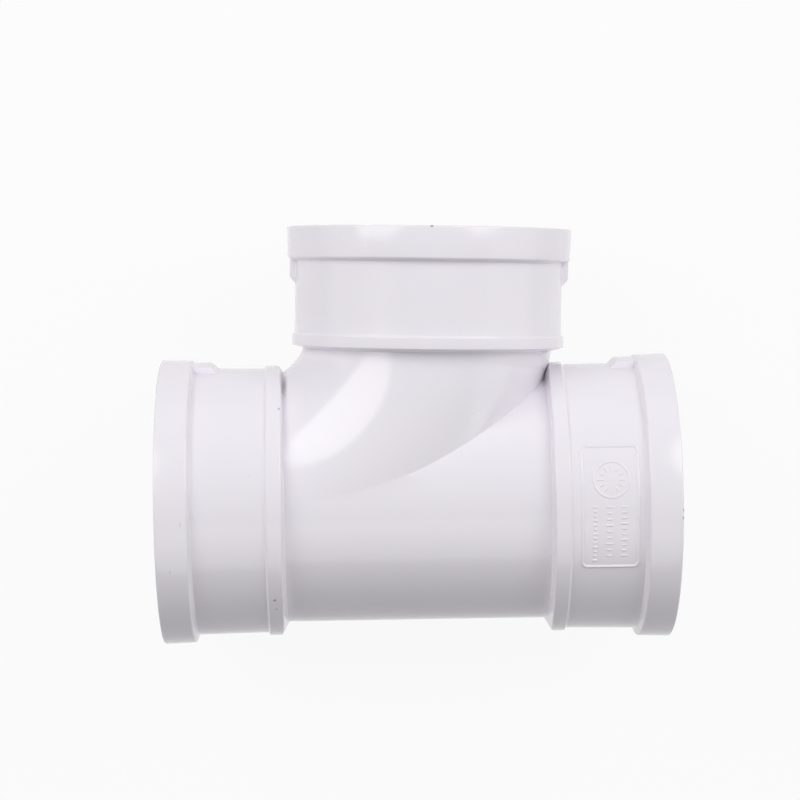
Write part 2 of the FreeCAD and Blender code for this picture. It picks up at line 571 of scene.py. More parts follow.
class Workshop:
    """Makes mesh objects in the row's frame from grids in the tee's frame."""

    def __init__(self, origin: Vector) -> None:
        """Keeps the crossing of the axes, in metres in the row's frame."""
        self.origin = np.array(origin)

    def solid(self, name: str, grid: Array, material: Material, endless: bool = False) -> Object:
        """Makes a closed mesh object from a ring grid.

        Args:
            name: Name of the object.
            grid: Array of rows, columns and (x, y, z) in millimetres in the tee's frame.
            material: Material of all its faces.
            endless: Whether the rings themselves close into a loop.

        Returns:
            The object, at the origin, with its place in its mesh.
        """
        rows, columns, _ = grid.shape
        points = grid.reshape(-1, 3) * MM + self.origin
        mesh = bpy.data.meshes.new(name)
        mesh.from_pydata(points.tolist(), [], grid_faces(rows, columns, endless))
        mesh.materials.append(material)
        work = bmesh.new()
        work.from_mesh(mesh)
        bmesh.ops.recalc_face_normals(work, faces=work.faces)
        work.to_mesh(mesh)
        work.free()
        return linked(name, mesh)

    def combine(self, base: Object, others: list[Object], operation: str) -> None:
        """Joins other closed solids to the base, or cuts them out of it, one after the other.

        Args:
            base: The object that keeps the result.
            others: Objects that are used up.
            operation: UNION or DIFFERENCE.
        """
        for other in others:
            modifier = base.modifiers.new(operation.lower(), "BOOLEAN")
            modifier.operation = operation
            modifier.solver = "EXACT"
            modifier.object = other
            modifier.material_mode = "TRANSFER"
            depsgraph = bpy.context.evaluated_depsgraph_get()
            result = bpy.data.meshes.new_from_object(base.evaluated_get(depsgraph))
            base.modifiers.clear()
            spent = base.data
            base.data = result
            bpy.data.meshes.remove(spent)
            bpy.data.objects.remove(other)

    def remove_flaps(self, made: Object) -> None:
        """Cuts many-sided faces into triangles and takes out the flat flaps among them.

        Where a point lies all but in line between its neighbours, the two faces that share it are
        cut into the same sliver, back to back, and that pair is a flap.

        Args:
            made: The object.
        """
        work = bmesh.new()
        work.from_mesh(made.data)
        bmesh.ops.triangulate(work, faces=[face for face in work.faces if len(face.verts) > 4])
        alike = defaultdict(list)
        for face in work.faces:
            alike[frozenset(vert.index for vert in face.verts)].append(face)
        flaps = [face for group in alike.values() if len(group) > 1 for face in group]
        bmesh.ops.delete(work, geom=flaps, context="FACES")
        LOG.info("%s: %d faces in flaps", made.name, len(flaps))
        work.to_mesh(made.data)
        work.free()


@dataclass
class TeeShell:
    """The whole moulding: run, elbow and branch outside, less the same three as hollows."""

    layout: Layout
    socket: SocketForm
    branch_socket: SocketForm
    waterway: WaterwayForm = field(default_factory=WaterwayForm)
    lug: LugForm = field(default_factory=LugForm)
    panel: PanelForm = field(default_factory=PanelForm)
    burr: BurrForm = field(default_factory=BurrForm)
    steps: GridSteps = field(default_factory=GridSteps)
    run_lug_half_width: float = 14.0
    branch_lug_half_width: float = 7.0
    crease_angle: float = 27.0

    def lug_stations(self) -> Array:
        """Distances from the mouth at which the lug needs points."""
        end = self.lug.foot + self.steps.past_lug
        return np.arange(self.socket.collar_edge, end, self.steps.lug)

    def panel_stations(self) -> Array:
        """Distances from the mouth at which the panel's border needs points.

        Returns:
            Distances near the border's first and last edge.
        """
        panel, steps = self.panel, self.steps
        reach = panel.corner + steps.inside_border
        near = np.arange(panel.start - steps.past_border, panel.start + reach, steps.border)
        end = panel.start + panel.length
        far = np.arange(end - reach, end + steps.past_border + steps.border / 2, steps.border)
        return np.concatenate([near, far])

    def run_fine_angles(self) -> list[Triple]:
        """Finer stretches round the run: the sides of the lugs and of the panel's border.

        Returns:
            First angle, last angle and step of each, in degrees.
        """
        steps, step = self.steps, self.steps.fine_ring
        side = math.degrees(math.asin(self.run_lug_half_width / self.socket.barrel_mouth_r))
        edge = math.degrees(math.asin(self.panel.half_width / self.socket.barrel_root_r))
        corner = math.degrees(self.panel.corner / self.socket.barrel_root_r) + steps.round_corner
        return [
            (side - steps.inside_lug, side + steps.outside_lug, step),
            (-side - steps.outside_lug, -side + steps.inside_lug, step),
            (90.0 - edge - steps.past_border, 90.0 - edge + corner, step),
            (90.0 + edge - corner, 90.0 + edge + steps.past_border, step),
        ]

    def branch_fine_angles(self) -> list[Triple]:
        """Finer stretches round the branch: the sides of its two lugs.

        Returns:
            Rows as in run_fine_angles.
        """
        reach = self.steps.branch_lug_reach
        mouth_r = self.branch_socket.barrel_mouth_r
        side = math.degrees(math.asin(self.branch_lug_half_width / mouth_r))
        middles = [
            centre + sign * (side - self.steps.outside_lug)
            for centre in (0.0, 180.0) for sign in (-1.0, 1.0)
        ]
        return [(middle - reach, middle + reach, self.steps.fine_ring) for middle in middles]

    def arm_profile(self, start: list[Triple], socket: SocketForm, arm: float,
                    stations: Array) -> Array:
        """Profile of an arm's outside, from its start to the mouth's flat face.

        Args:
            start: Corners before the bead.
            socket: Form of the socket.
            arm: Distance from the crossing to the mouth.
            stations: Distances from the mouth at which more points are needed.

        Returns:
            Rows of (distance, radius).
        """
        profile = rounded_profile(start + socket.outside(arm))
        return refined(with_rim_round(profile, socket.rim_round), arm - stations)

    def run_depth(self, x: Array) -> Array:
        """Distance from the mouth of the run's arm that a point is on."""
        arms = self.layout.arms
        return np.where(x < 0.0, arms[Arm.LONG] + x, arms[Arm.SHORT] - x)

    def run_grid(self) -> Array:
        """Outside of the run, with its lugs and the panel's border raised from the turned form.

        Returns:
            Ring grid in millimetres.
        """
        socket, tube_r = self.socket, self.waterway.tube_r
        both = np.concatenate([self.lug_stations(), self.panel_stations()])
        halves = []
        for name, stations in ((Arm.LONG, self.lug_stations()), (Arm.SHORT, both)):
            arm = self.layout.arms[name]
            foot = (arm - socket.flank_foot, tube_r, socket.flank_round)
            halves.append(self.arm_profile([(0.0, tube_r, 0.0), foot], socket, arm, stations))
        profile = np.vstack([halves[0][:0:-1] * [-1.0, 1.0], halves[1]])
        angles = ring_angles(self.steps.ring, self.run_fine_angles())
        return self.raised_run(self.drafted_run(turned(profile, angles)))

    def drafted_run(self, grid: Array) -> Array:
        """Leans the beads' sides so that the run leaves a mould that parts at z = 0.

        A point's share of the lean is (1 - |z| / r) cubed, which is 1 on the parting plane and soon
        falls to 0 away from it.

        Args:
            grid: The turned run.

        Returns:
            The drafted grid.
        """
        x, y, z = split(grid)
        share = (1.0 - np.abs(z) / np.hypot(y, z)) ** 3
        inwards = -np.sign(x)
        moved = x + inwards * share * self.socket.parting_shift(self.run_depth(x))
        return np.stack([moved, y, z], axis=-1)

    def raised_run(self, grid: Array) -> Array:
        """Raises the lugs and the panel's border: each point moves out along its radius.

        Args:
            grid: The drafted run.

        Returns:
            The grid with its raised forms.
        """
        x, y, z = split(grid)
        radius = np.hypot(y, z)
        depth = self.run_depth(x)
        with_lug = self.lug.raised(radius, depth, z, self.run_lug_half_width, self.socket)
        raised = np.where(y > 0.0, with_lug, radius)
        on_panel = (x > 0.0) & (z > 0.0) & (depth < self.socket.bead_start)
        raised = raised + np.where(on_panel, self.panel.rise(depth, y), 0.0)
        scale = raised / radius
        return np.stack([x, y * scale, z * scale], axis=-1)

    def neck_corners(self, foot: float) -> list[Triple]:
        """Corners of the branch's neck, which comes out of the elbow and ends at the bead.

        The neck's radius is a straight rise plus a bulge of 4 b s (1 - s) over its length s. It
        starts under the elbow's skin, by as much as the bend has left the branch's axis there.

        Args:
            foot: Distance from the crossing to the bead's foot.

        Returns:
            Rows of distance along the branch, radius, and the round at that corner.
        """
        form = self.waterway
        start = foot - form.neck_length
        offset = (form.bend_tangent(self.layout.lean) - start) ** 2 / (2 * form.bend_radius)
        low = form.elbow_r - form.elbow_step - offset
        top = form.tube_r + form.neck_flare
        share = np.linspace(0.0, self.steps.neck_end, self.steps.neck_rings)
        rise = share * (top - low) + 4 * form.neck_bulge * share * (1 - share)
        neck = [
            (start + part * form.neck_length, low + up, 0.0) for part, up in zip(share, rise)
        ]
        return neck + [(foot, top, self.branch_socket.flank_round)]

    def branch_grid(self) -> Array:
        """Outside of the branch socket, with its neck and its two lugs.

        Past the bead the neck is squeezed a little in z, so that the elbow covers it in front and
        at the back.

        Returns:
            Ring grid in millimetres.
        """
        arm, socket = self.layout.arms[Arm.BRANCH], self.branch_socket
        neck = self.neck_corners(arm - socket.flank_foot)
        profile = self.arm_profile(neck, socket, arm, self.lug_stations())
        grid = turned(profile, ring_angles(self.steps.ring, self.branch_fine_angles()))
        x, y, z = split(grid)
        radius = np.hypot(y, z)
        depth = arm - x
        scale = self.lug.raised(radius, depth, z, self.branch_lug_half_width, socket) / radius
        past_bead = smooth_ramp((depth - socket.bead_end) / (socket.flank_foot - socket.bead_end))
        squeeze = 1.0 - self.waterway.neck_squeeze * past_bead
        grid = np.stack([x, y * scale, z * scale * squeeze], axis=-1)
        return turned_to_branch(self.burred_mouth(grid, arm), self.layout.lean)

    def burred_mouth(self, grid: Array, arm: float) -> Array:
        """Lowers the branch's rim here and there, where the moulding's edge is rough.

        Args:
            grid: The branch socket along +X.
            arm: Distance to its mouth.

        Returns:
            The grid with a slightly uneven rim.
        """
        x, y, z = split(grid)
        rim = self.socket.rim_round
        dip = self.burr.dip(np.degrees(np.arctan2(z, y)))
        near_rim = np.clip((x - (arm - rim)) / rim, 0.0, 1.0)
        return np.stack([x - dip * near_rim, y, z], axis=-1)

    def elbow_grid(self, radius: float) -> Array:
        """The elbow's bar, carried on into the branch socket, at a radius."""
        reach = self.layout.arms[Arm.BRANCH] - self.socket.depth / 2
        return swept_elbow(self.waterway, self.steps, self.layout.lean, radius, reach)

    def run_bore_grid(self) -> Array:
        """Hollow of the run, from outside one mouth to outside the other.

        Returns:
            Ring grid in millimetres.
        """
        halves = []
        for name in (Arm.LONG, Arm.SHORT):
            arm = self.layout.arms[name]
            stop = (arm - self.socket.depth, self.waterway.tube_bore_r, 0.0)
            halves.append(rounded_profile([stop] + self.socket.bore(arm)))
        profile = np.vstack([halves[0][::-1] * [-1.0, 1.0], halves[1]])
        return turned(profile, ring_angles(self.steps.ring, []))

    def branch_bore_grid(self) -> Array:
        """Hollow of the branch socket, from its pipe stop to outside its mouth."""
        profile = rounded_profile(self.socket.bore(self.layout.arms[Arm.BRANCH]))
        return turned_to_branch(turned(profile, ring_angles(self.steps.ring, [])), self.layout.lean)

    def build(self, shop: Workshop, skin: Material, core: Material) -> Object:
        """Makes the moulding as one closed mesh.

        Args:
            shop: The maker of mesh objects.
            skin: Material of the outside.
            core: Material of the hollows.

        Returns:
            The shell.
        """
        form = self.waterway
        shell = shop.solid("tee_shell", self.run_grid(), skin)
        outside = [
            shop.solid("elbow_outside", self.elbow_grid(form.elbow_r), skin),
            shop.solid("branch_outside", self.branch_grid(), skin),
        ]
        hollows = [
            shop.solid("run_hollow", self.run_bore_grid(), core),
            shop.solid("elbow_hollow", self.elbow_grid(form.elbow_bore_r), core),
            shop.solid("branch_hollow", self.branch_bore_grid(), core),
        ]
        shop.combine(shell, outside, "UNION")
        shop.combine(shell, hollows, "DIFFERENCE")
        shop.remove_flaps(shell)
        shell.data.name = "tee_shell"
        shell.data.shade_smooth()
        shell.data.set_sharp_from_angle(angle=math.radians(self.crease_angle))
        return shell


@dataclass
class PanelMarks:
    """Plain moulded marks inside the panel: a dial with twelve strokes, and three rows."""

    layout: Layout
    socket: SocketForm
    panel: PanelForm = field(default_factory=PanelForm)
    height: float = 0.26
    sunk: float = 0.4
    dial_along: float = 0.4
    dial_across: float = 11.6
    dial_r: float = 7.4
    dial_line: float = 1.0
    dial_points: int = 72
    section_points: int = 9
    stroke_count: int = 12
    stroke_r: float = 4.6
    stroke_half_width: float = 0.42
    long_stroke: float = 1.5
    short_stroke: float = 1.0
    short_share: float = 0.62
    long_every: int = 3
    pad_points: int = 24
    pad_rings: int = 5
    pad_power: float = 0.5
    pad_inset: float = 0.75
    rows: tuple[Triple, ...] = (
        (5.6, 1.5, 2.3),
        (-0.6, 1.7, 2.6),
        (-6.6, 1.1, 1.9),
    )
    row_start: float = 0.2
    row_end: float = -22.6

    def dial_strokes(self) -> Array:
        """Strokes of the dial, which point to its middle like the hours of a clock.

        Returns:
            Rows of centre along, centre across, half length and turn.
        """
        number = np.arange(self.stroke_count)
        turn = number * math.pi / (self.stroke_count / 2)
        half_length = np.where(number % self.long_every == 0, self.long_stroke, self.short_stroke)
        along = self.dial_along + self.stroke_r * np.cos(turn)
        across = self.dial_across + self.stroke_r * np.sin(turn)
        return np.column_stack([along, across, half_length, turn])

    def gauge_strokes(self) -> Array:
        """Strokes of the three rows. Each stands along the arm, and every third one is longer.

        Returns:
            Rows as in dial_strokes.
        """
        stretches = []
        for along, half_length, pitch in self.rows:
            across = np.arange(self.row_start, self.row_end, -pitch)
            is_long = np.arange(len(across)) % self.long_every == 0
            length = np.where(is_long, half_length, half_length * self.short_share)
            same = np.ones(len(across))
            stretches.append(np.column_stack([same * along, across, length, same * 0.0]))
        return np.vstack(stretches)

    def on_barrel(self, along: Array, across: Array, rise: Array) -> Array:
        """Lays flat places on the barrel: the place across the arm is seen from above.

        Args:
            along: Distance from the panel's middle towards the mouth.
            across: Distance from the panel's middle across the arm.
            rise: Height over the barrel.

        Returns:
            Points in the tee's frame.
        """
        depth = self.panel.middle - along
        radius = self.socket.barrel_r(depth) + rise
        side = np.arcsin(across / self.socket.barrel_root_r)
        x = self.layout.arms[Arm.SHORT] - depth
        return np.stack([x, radius * np.sin(side), radius * np.cos(side)], axis=-1)

    def pads(self) -> Array:
        """Grids of all the strokes: small pads with soft sides.

        A pad's outline is the superellipse |a/A|^4 + |b/B|^4 = 1. Its rings shrink as they rise, by
        an inset that follows a quarter circle.

        Returns:
            Array of pads, rings, points and (x, y, z).
        """
        marks = np.vstack([self.dial_strokes(), self.gauge_strokes()])[:, None, None, :]
        angle = np.linspace(0.0, 2 * math.pi, self.pad_points, endpoint=False)
        bound_a = np.sign(np.cos(angle)) * np.abs(np.cos(angle)) ** self.pad_power
        bound_b = np.sign(np.sin(angle)) * np.abs(np.sin(angle)) ** self.pad_power
        climb = np.linspace(0.0, math.pi / 2, self.pad_rings)
        shrink = (1.0 - np.cos(climb)) * self.stroke_half_width * self.pad_inset
        inset = np.concatenate([[0.0], shrink])[None, :, None]
        rise = np.concatenate([[-self.sunk], np.sin(climb) * self.height])[None, :, None]
        a = (marks[..., 2] - inset) * bound_a
        b = (self.stroke_half_width - inset) * bound_b
        turn = marks[..., 3]
        along = marks[..., 0] + a * np.cos(turn) - b * np.sin(turn)
        across = marks[..., 1] + a * np.sin(turn) + b * np.cos(turn)
        return self.on_barrel(along, across, rise)

    def ring(self) -> Array:
        """Grid of the dial's ring: a half-round section with a flat sunk foot, round a circle.

        Returns:
            Array of section points, points round the dial and (x, y, z), closed both ways.
        """
        round_part = np.linspace(0.0, math.pi, self.section_points)
        half = self.dial_line / 2
        out = np.concatenate([half * np.cos(round_part), [-half, half]])
        rise = np.concatenate([self.height * np.sin(round_part), [-self.sunk, -self.sunk]])
        turn = np.linspace(0.0, 2 * math.pi, self.dial_points, endpoint=False)
        radius = self.dial_r + out[:, None]
        along = self.dial_along + radius * np.cos(turn)
        across = self.dial_across + radius * np.sin(turn)
        return self.on_barrel(along, across, rise[:, None])

    def build(self, shop: Workshop, skin: Material) -> Object:
        """Makes all the marks as one mesh of small closed forms that sit in the barrel's skin.

        Args:
            shop: The maker of mesh objects.
            skin: Material of the marks.

        Returns:
            The marks.
        """
        forms = [
            shop.solid(f"mark_{number}", pad, skin) for number, pad in enumerate(self.pads())
        ]
        forms.append(shop.solid("mark_ring", self.ring(), skin, endless=True))
        return joined("panel_marks", forms)


def joined(name: str, parts: list[Object]) -> Object:
    """Puts the meshes of several objects in one object, with smooth faces.

    Args:
        name: Name of the new object.
        parts: Objects at the origin, which are used up.

    Returns:
        The new object.
    """
    work = bmesh.new()
    for part in parts:
        work.from_mesh(part.data)
    mesh = bpy.data.meshes.new(name)
    mesh.materials.append(parts[0].data.materials[0])
    work.to_mesh(mesh)
    work.free()
    for part in parts:
        spent = part.data
        bpy.data.objects.remove(part)
        bpy.data.meshes.remove(spent)
    mesh.shade_smooth()
    mesh.set_sharp_from_angle(angle=math.radians(MARK_CREASE))
    return linked(name, mesh)


@dataclass(frozen=True)
class Noise:
    """A noise: its waves in a metre, octaves, roughness and factors on the three coordinates."""

    scale: float
    detail: float = 2.0
    rough: float = 0.5
    stretch: Triple = (1.0, 1.0, 1.0)


ORANGE_PEEL = Noise(900.0, 3.0, 0.6)
SLOW_WAVE = Noise(38.0, 1.0, 0.4)
FINE_TONE = Noise(650.0, 2.0, 0.7)
RAGGED_EDGE = Noise(1400.0, 2.0, 0.6)
SCRATCH_THREADS = Noise(260.0, stretch=(1.0, 0.06, 1.0))
SCUFF_PATCHES = Noise(34.0)
BORE_STREAKS = Noise(500.0, 2.0, 0.6, (0.03, 1.0, 1.0))


class Nodes:
    """Short calls that add and join shader nodes in one node tree."""

    def __init__(self, tree: NodeTree) -> None:
        """Keeps the tree that gets the nodes."""
        self.tree = tree

    def fed(self, node: Node, values: dict[int | str, object]) -> Node:
        """Feeds a node: a socket is joined to the input, and any other value is set there.

        Args:
            node: The node.
            values: Value of each input that is fed, by its name or number.

        Returns:
            The node.
        """
        for key, value in values.items():
            if isinstance(value, NodeSocket):
                self.tree.links.new(value, node.inputs[key])
            else:
                node.inputs[key].default_value = value
        return node

    def add(self, kind: str, values: dict[int | str, object], **settings: object) -> Node:
        """Adds a node.

        Args:
            kind: Node type, such as ShaderNodeMath.
            values: Value of each input that is fed, by its name or number.
            settings: Properties of the node by name.

        Returns:
            The node.
        """
        node = self.tree.nodes.new(kind)
        for name, value in settings.items():
            setattr(node, name, value)
        return self.fed(node, values)

    def math(self, operation: str, *values: object) -> NodeSocket:
        """Gives the output of a Math node with the given inputs."""
        return self.add("ShaderNodeMath", dict(enumerate(values)), operation=operation).outputs[0]

    def vector(self, operation: str, *values: object) -> Node:
        """Adds a Vector Math node with the given inputs."""
        return self.add("ShaderNodeVectorMath", dict(enumerate(values)), operation=operation)

    def ramp(self, value: object, low: object, high: float, falls: bool = False) -> NodeSocket:
        """Adds a smooth ramp over a value, level outside its two ends.

        Args:
            value: The value.
            low: Where the ramp starts.
            high: Where it ends.
            falls: Whether it falls from 1 to 0 instead of rising from 0 to 1.

        Returns:
            The ramp.
        """
        node = self.add("ShaderNodeMapRange", {
            "Value": value, "From Min": low, "From Max": high,
            "To Min": float(falls), "To Max": float(not falls),
        }, interpolation_type="SMOOTHSTEP")
        return node.outputs["Result"]

    def noise(self, place: NodeSocket, noise: Noise) -> NodeSocket:
        """Adds a noise.

        Args:
            place: Coordinates.
            noise: Sizes of the noise.

        Returns:
            Its values, round 0.5.
        """
        if noise.stretch != Noise.stretch:
            place = self.vector("MULTIPLY", place, noise.stretch).outputs[0]
        node = self.add("ShaderNodeTexNoise", {
            "Vector": place, "Scale": noise.scale, "Detail": noise.detail,
            "Roughness": noise.rough,
        })
        return node.outputs["Fac"]

    def mix(self, share: object, first: object, second: object) -> NodeSocket:
        """Mixes two colours: a share of 0 gives the first one and 1 the second."""
        values = {0: share, MIX_FIRST: first, MIX_SECOND: second}
        return self.add("ShaderNodeMix", values, data_type="RGBA").outputs[MIX_RESULT]

    def seen_white(self) -> NodeSocket:
        """Tells the rays that have to see white.

        Returns:
            1 on camera, glossy and transmission rays, and 0 on all others.
        """
        ray = self.add("ShaderNodeLightPath", {}).outputs
        seen = self.math("MAXIMUM", ray["Is Camera Ray"], ray["Is Glossy Ray"])
        return self.math("MAXIMUM", seen, ray["Is Transmission Ray"])


class Effect:
    """A shader node group with a place among its inputs, used by both finishes of the tee."""

    def __init__(self, name: str, inputs: dict[str, str], outputs: tuple[str, ...]) -> None:
        """Makes the empty group.

        Args:
            name: Name of the group.
            inputs: Socket type of each input, by name, next to Place.
            outputs: Names of its outputs, which are plain numbers.
        """
        self.tree = bpy.data.node_groups.new(name, "ShaderNodeTree")
        for socket, kind in {"Place": VECTOR, **inputs}.items():
            self.tree.interface.new_socket(socket, in_out="INPUT", socket_type=kind)
        for socket in outputs:
            self.tree.interface.new_socket(socket, in_out="OUTPUT", socket_type=FLOAT)
        self.nodes = Nodes(self.tree)
        self.given = self.nodes.add("NodeGroupInput", {}).outputs
        self.end = self.nodes.add("NodeGroupOutput", {})

    def used(self, nodes: Nodes, values: dict[str, object]) -> Node:
        """Adds the effect to a material and feeds its inputs by name."""
        return nodes.add("ShaderNodeGroup", values, node_tree=self.tree)


def moulding_grain() -> Effect:
    """Skin of a moulding: fine orange peel over a slow waviness, as a height and a tone.

    Returns:
        The effect, with outputs Height and Tone, both round 0.5.
    """
    effect = Effect("moulding_grain", {"Waviness": FLOAT}, ("Height", "Tone"))
    nodes, given = effect.nodes, effect.given
    slow = nodes.math("MULTIPLY", nodes.noise(given["Place"], SLOW_WAVE), given["Waviness"])
    peel_height = 0.008
    fine = nodes.math("MULTIPLY", nodes.noise(given["Place"], ORANGE_PEEL), peel_height)
    tone = nodes.noise(given["Place"], FINE_TONE)
    nodes.fed(effect.end, {"Height": nodes.math("ADD", slow, fine), "Tone": tone})
    return effect


def dirt_spot() -> Effect:
    """A ragged dark spot, for dirt and for painted crevice shade: the distance to its middle in
    units of its reach, made uneven by a noise.

    Returns:
        The effect, with the output Mask.
    """
    effect = Effect(
        "dirt_spot", {"Middle": VECTOR, "Reach": VECTOR, "Softness": FLOAT}, ("Mask",),
    )
    nodes, given = effect.nodes, effect.given
    raggedness, edge, outer_edge = 0.9, 1.4, 1.45
    offset = nodes.vector("SUBTRACT", given["Place"], given["Middle"]).outputs[0]
    share = nodes.vector("DIVIDE", offset, given["Reach"]).outputs[0]
    distance = nodes.vector("LENGTH", share).outputs["Value"]
    ragged = nodes.math("MULTIPLY", nodes.noise(given["Place"], RAGGED_EDGE), raggedness)
    uneven = nodes.math("ADD", distance, ragged)
    inner_edge = nodes.math("SUBTRACT", edge, given["Softness"])
    nodes.fed(effect.end, {"Mask": nodes.ramp(uneven, inner_edge, outer_edge, falls=True)})
    return effect


def handling_scuffs() -> Effect:
    """Faint handling marks: thin bright threads of a stretched noise, kept to a few patches.

    Returns:
        The effect, with the output Mask.
    """
    effect = Effect(
        "handling_scuffs", {"Amount": FLOAT, "Home": VECTOR, "Home Reach": FLOAT}, ("Mask",),
    )
    nodes, given = effect.nodes, effect.given
    thread_turn = (0.5, 0.35, 0.9)
    thread_width = 0.012
    patch_low, patch_high = 0.6, 0.72
    home_full = 0.3
    turn = nodes.add("ShaderNodeMapping", {"Rotation": thread_turn, "Vector": given["Place"]})
    threads = nodes.noise(turn.outputs["Vector"], SCRATCH_THREADS)
    ridge = nodes.math("ABSOLUTE", nodes.math("SUBTRACT", threads, 0.5))
    thin = nodes.ramp(ridge, 0.0, thread_width, falls=True)
    patches = nodes.ramp(nodes.noise(given["Place"], SCUFF_PATCHES), patch_low, patch_high)
    away = nodes.vector("DISTANCE", given["Place"], given["Home"]).outputs["Value"]
    near = nodes.math("DIVIDE", away, given["Home Reach"])
    home = nodes.ramp(near, home_full, 1.0, falls=True)
    both = nodes.math("MULTIPLY", thin, nodes.math("MAXIMUM", patches, home))
    nodes.fed(effect.end, {"Mask": nodes.math("MULTIPLY", both, given["Amount"])})
    return effect


@dataclass(frozen=True)
class SharedEffects:
    """Effects that both finishes of the tee use, each built once as a node group."""

    grain: Effect = field(default_factory=moulding_grain)
    spot: Effect = field(default_factory=dirt_spot)
    scuffs: Effect = field(default_factory=handling_scuffs)


@dataclass(frozen=True)
class Spot:
    """One dark spot on the tee, at a place in the tee's frame, in millimetres: a speck of dirt, or
    painted shade in a crevice.
    """

    middle: Triple
    reach: Triple
    strength: float
    softness: float = 0.45


def speck(x: float, y: float, z: float, size: float, strength: float) -> Spot:
    """A small round spot."""
    return Spot((x, y, z), (size, size, size), strength)


DIRT_AND_SHADE_SPOTS = (
    speck(-65.9, -38.8, 45.4, 1.0, 0.7),
    speck(-65.2, -43.2, 41.2, 0.7, 0.6),
    speck(-61.3, 44.1, 39.2, 1.1, 0.5),
    speck(-63.0, 42.6, 41.5, 0.9, 0.4),
    speck(-75.5, 15.5, 56.7, 0.7, 0.2),
    Spot((-104.3, -4.1, 61.9), (0.6, 1.4, 1.0), 0.14),
    Spot((-109.2, -24.3, 57.0), (0.7, 1.2, 1.0), 0.15),
    speck(78.4, -47.2, 35.4, 0.7, 0.35),
    speck(106.2, -1.0, 62.0, 0.9, 0.8),
    speck(106.2, -4.5, 62.0, 0.9, 0.8),
    speck(2.2, 118.8, 62.2, 0.9, 0.7),
    # Painted shade: these two smudges darken the crevices where the elbow meets the beads' flanks.
    Spot((-61.2, 51.0, 22.0), (1.9, 8.0, 18.0), 0.62, 1.1),
    Spot((52.0, 54.0, 22.0), (2.2, 6.0, 14.0), 0.45, 1.1),
)


def in_metres(place: Triple) -> list[float]:
    """A place or size in millimetres, in metres."""
    return [size * MM for size in place]


@dataclass(frozen=True)
class PvcFinish:
    """White PVC as it comes out of a steel mould: bright, slightly mauve, with a satin gloss."""

    name: str
    colour: Triple = (0.861, 0.828, 0.886)
    shade_colour: Triple = (0.857, 0.824, 0.882)
    # Colour of the specks of dirt, and of the painted shade in the crevices.
    dirt_and_shade_colour: Triple = (0.16, 0.13, 0.10)
    scuff_colour: Triple = (0.93, 0.925, 0.93)
    ior: float = 1.5
    gloss: float = 0.15
    gloss_spread: float = 0.04
    scuff_dullness: float = 0.25
    waviness: float = 0.3
    scuffing: float = 0.7
    scuff_home: Triple = (-33.0, 113.0, 54.0)
    scuff_home_reach: float = 15.0
    parting_line: float = 0.0
    parting_half_width: tuple[float, float] = (0.06, 0.28)
    streaks: float = 0.0
    bump_strength: float = 0.35
    bump_depth: float = 0.5
    spots: tuple[Spot, ...] = ()

    def build(self, effects: SharedEffects, origin: Vector) -> Material:
        """Makes the material.

        Args:
            effects: The shared node groups.
            origin: The crossing of the axes, in metres in the row's frame.

        Returns:
            The material.
        """
        material = bpy.data.materials.new(self.name)
        material.use_nodes = True
        nodes = Nodes(material.node_tree)
        row_place = nodes.add("ShaderNodeTexCoord", {}).outputs["Object"]
        place = nodes.vector("SUBTRACT", row_place, tuple(origin)).outputs[0]
        grain = effects.grain.used(nodes, {"Place": place, "Waviness": self.waviness})
        scuff = effects.scuffs.used(nodes, {
            "Place": place, "Amount": self.scuffing, "Home": in_metres(self.scuff_home),
            "Home Reach": self.scuff_home_reach * MM,
        }).outputs["Mask"]
        tone = grain.outputs["Tone"]
        colour = nodes.mix(tone, (*self.shade_colour, 1.0), (*self.colour, 1.0))
        colour = nodes.mix(scuff, colour, (*self.scuff_colour, 1.0))
        # Specks of dirt, and painted shade in the crevices beside the branch's bead.
        for spot in self.spots:
            colour = self.spotted(nodes, effects, place, colour, spot)
        rough = nodes.math("MULTIPLY", nodes.math("SUBTRACT", tone, 0.5), self.gloss_spread)
        rough = nodes.math("ADD", rough, self.gloss)
        dull = nodes.math("MULTIPLY", scuff, self.scuff_dullness)
        height = self.relief(nodes, place, grain.outputs["Height"])
        bump = nodes.add("ShaderNodeBump", {
            "Strength": self.bump_strength, "Distance": self.bump_depth * MM, "Height": height,
        })
        nodes.fed(material.node_tree.nodes["Principled BSDF"], {
            "IOR": self.ior, "Base Color": colour, "Roughness": nodes.math("ADD", rough, dull),
            "Normal": bump.outputs["Normal"],
        })
        return material

    def relief(self, nodes: Nodes, place: NodeSocket, height: NodeSocket) -> NodeSocket:
        """Adds the parting line and the streaks of the mould's core to the grain's height.

        Args:
            nodes: The material's nodes.
            place: Coordinates in the tee's frame, in metres.
            height: Height of the grain.

        Returns:
            The height with the lines that this finish has.
        """
        if self.parting_line > 0.0:
            apart = nodes.add("ShaderNodeSeparateXYZ", {"Vector": place})
            flat, gone = (width * MM for width in self.parting_half_width)
            away = nodes.math("ABSOLUTE", apart.outputs["Z"])
            seam = nodes.ramp(away, flat, gone, falls=True)
            height = nodes.math("ADD", height, nodes.math("MULTIPLY", seam, self.parting_line))
        if self.streaks > 0.0:
            lines = nodes.math("MULTIPLY", nodes.noise(place, BORE_STREAKS), self.streaks)
            height = nodes.math("ADD", height, lines)
        return height

    def spotted(self, nodes: Nodes, effects: SharedEffects, place: NodeSocket,
                colour: NodeSocket, spot: Spot) -> NodeSocket:
        """Lays one dark spot over a colour: a speck of dirt, or painted shade in a crevice.

        Args:
            nodes: The material's nodes.
            effects: The shared node groups.
            place: Coordinates in the tee's frame, in metres.
            colour: The colour so far.
            spot: The spot.

        Returns:
            The colour with the spot.
        """
        mask = effects.spot.used(nodes, {
            "Place": place, "Middle": in_metres(spot.middle), "Reach": in_metres(spot.reach),
            "Softness": spot.softness,
        })
        share = nodes.math("MULTIPLY", mask.outputs["Mask"], spot.strength)
        return nodes.mix(share, colour, (*self.dirt_and_shade_colour, 1.0))


